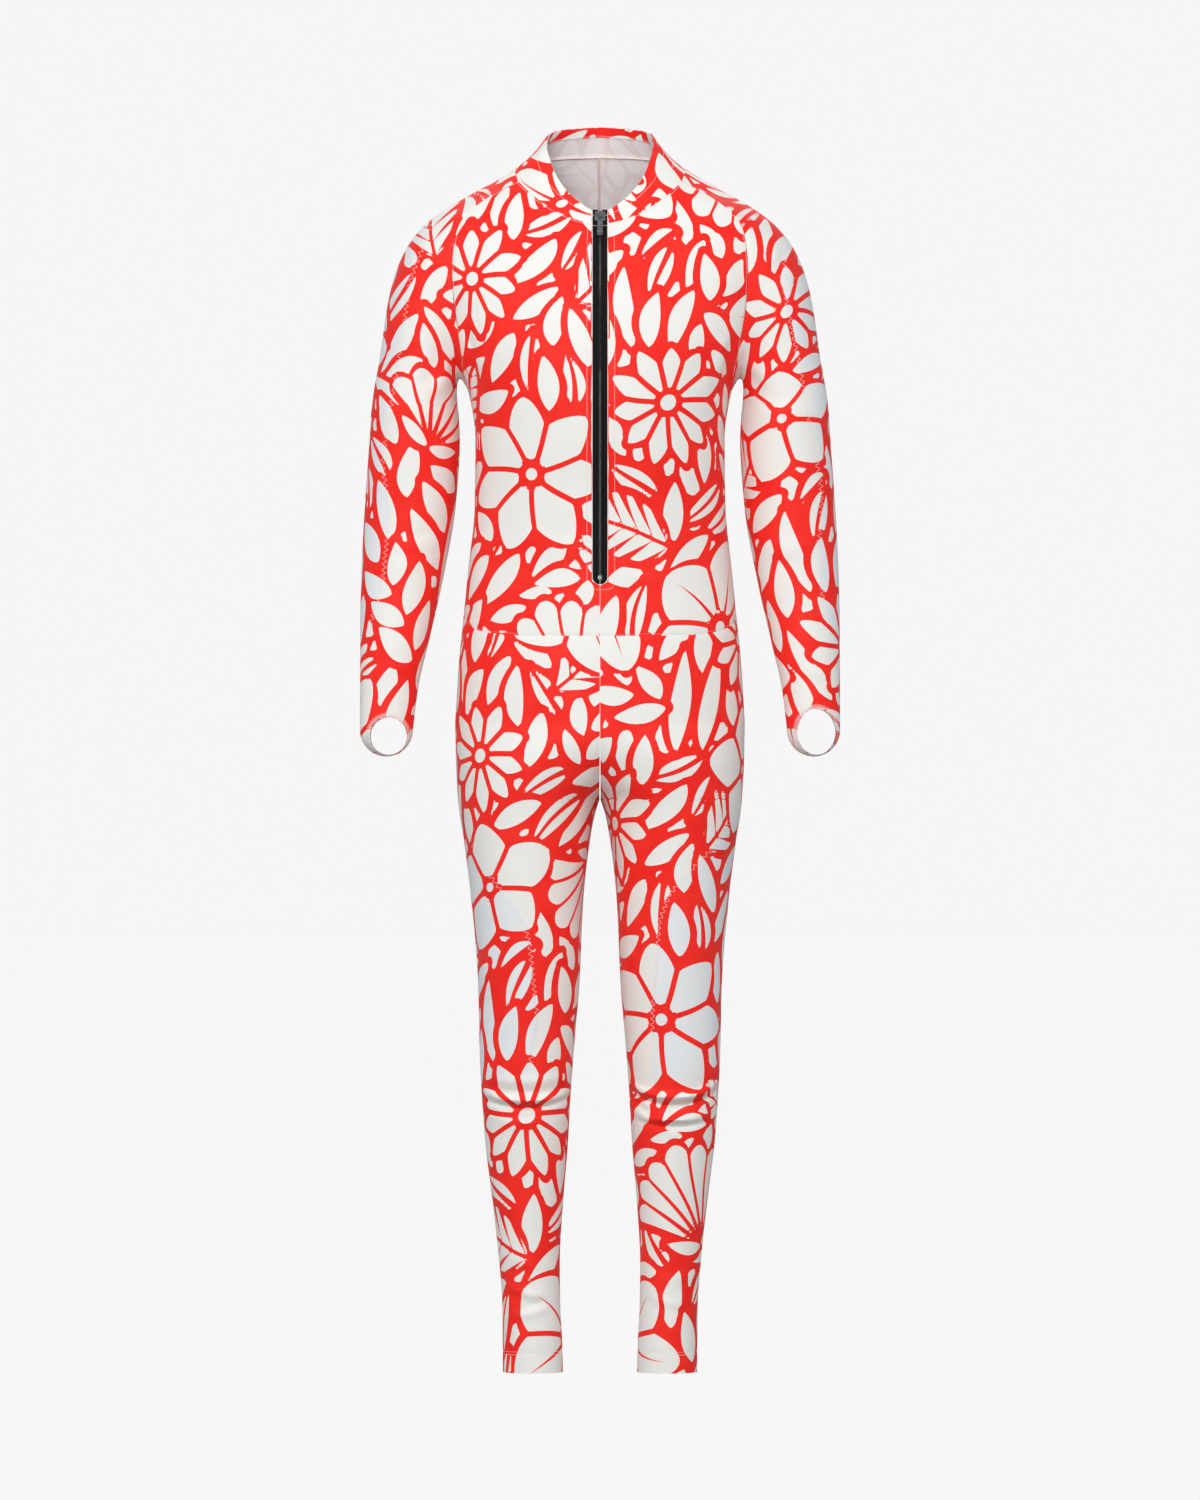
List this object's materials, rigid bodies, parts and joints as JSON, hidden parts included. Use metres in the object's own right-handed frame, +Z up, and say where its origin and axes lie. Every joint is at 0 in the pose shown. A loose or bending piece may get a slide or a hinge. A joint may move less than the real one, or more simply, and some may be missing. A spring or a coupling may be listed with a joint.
{
  "type": "ski race suit",
  "caption": "Close-fitting one-piece ski race suit with raglan sleeves, hand loops at the wrists, a stand-up collar and a short front zip, shaped as worn.",
  "frame": {"origin": "on the centre line between the wearer's shoulders, level with the base of the neck, where the wearer's body carries the suit", "axes": "+Z up from the ankles to the neck, +X to the wearer's left, +Y to the wearer's back, so the front faces -Y"},
  "size_m": [0.574, 0.2505, 1.4971],
  "materials": {
    "printed_stretch_cloth": "smooth laminated stretch knit with a slight sheen, red with an all-over off-white flower and leaf print; the inside is plain greyish white",
    "zip_tape": "black woven tape",
    "zip_coil": "black moulded coil",
    "zip_metal": "dark gunmetal plating"
  },
  "bodies": {
    "suit": {"bodice_front_left": "printed_stretch_cloth", "bodice_front_right": "printed_stretch_cloth", "bodice_back_left": "printed_stretch_cloth", "bodice_back_right": "printed_stretch_cloth", "leg_front_left": "printed_stretch_cloth", "leg_front_right": "printed_stretch_cloth", "leg_back_left": "printed_stretch_cloth", "leg_back_right": "printed_stretch_cloth", "sleeve_left": "printed_stretch_cloth", "sleeve_right": "printed_stretch_cloth", "collar": "printed_stretch_cloth", "collar_turned_edge": "printed_stretch_cloth", "zip_tape_left": "zip_tape", "zip_tape_right": "zip_tape", "zip_coil": "zip_coil", "zip_bottom_stop": "zip_metal", "zip_slider": "zip_metal"},
    "pull_tab": {"zip_pull_tab": "zip_metal"}
  },
  "joints": [
    {"name": "pull_tab_hinge", "type": "hinge", "parent": "suit", "child": "pull_tab", "pos_m": [0, -0.07372, -0.05062], "axis": [-1, 0, 0], "range_deg": [0, 150]}
  ]
}
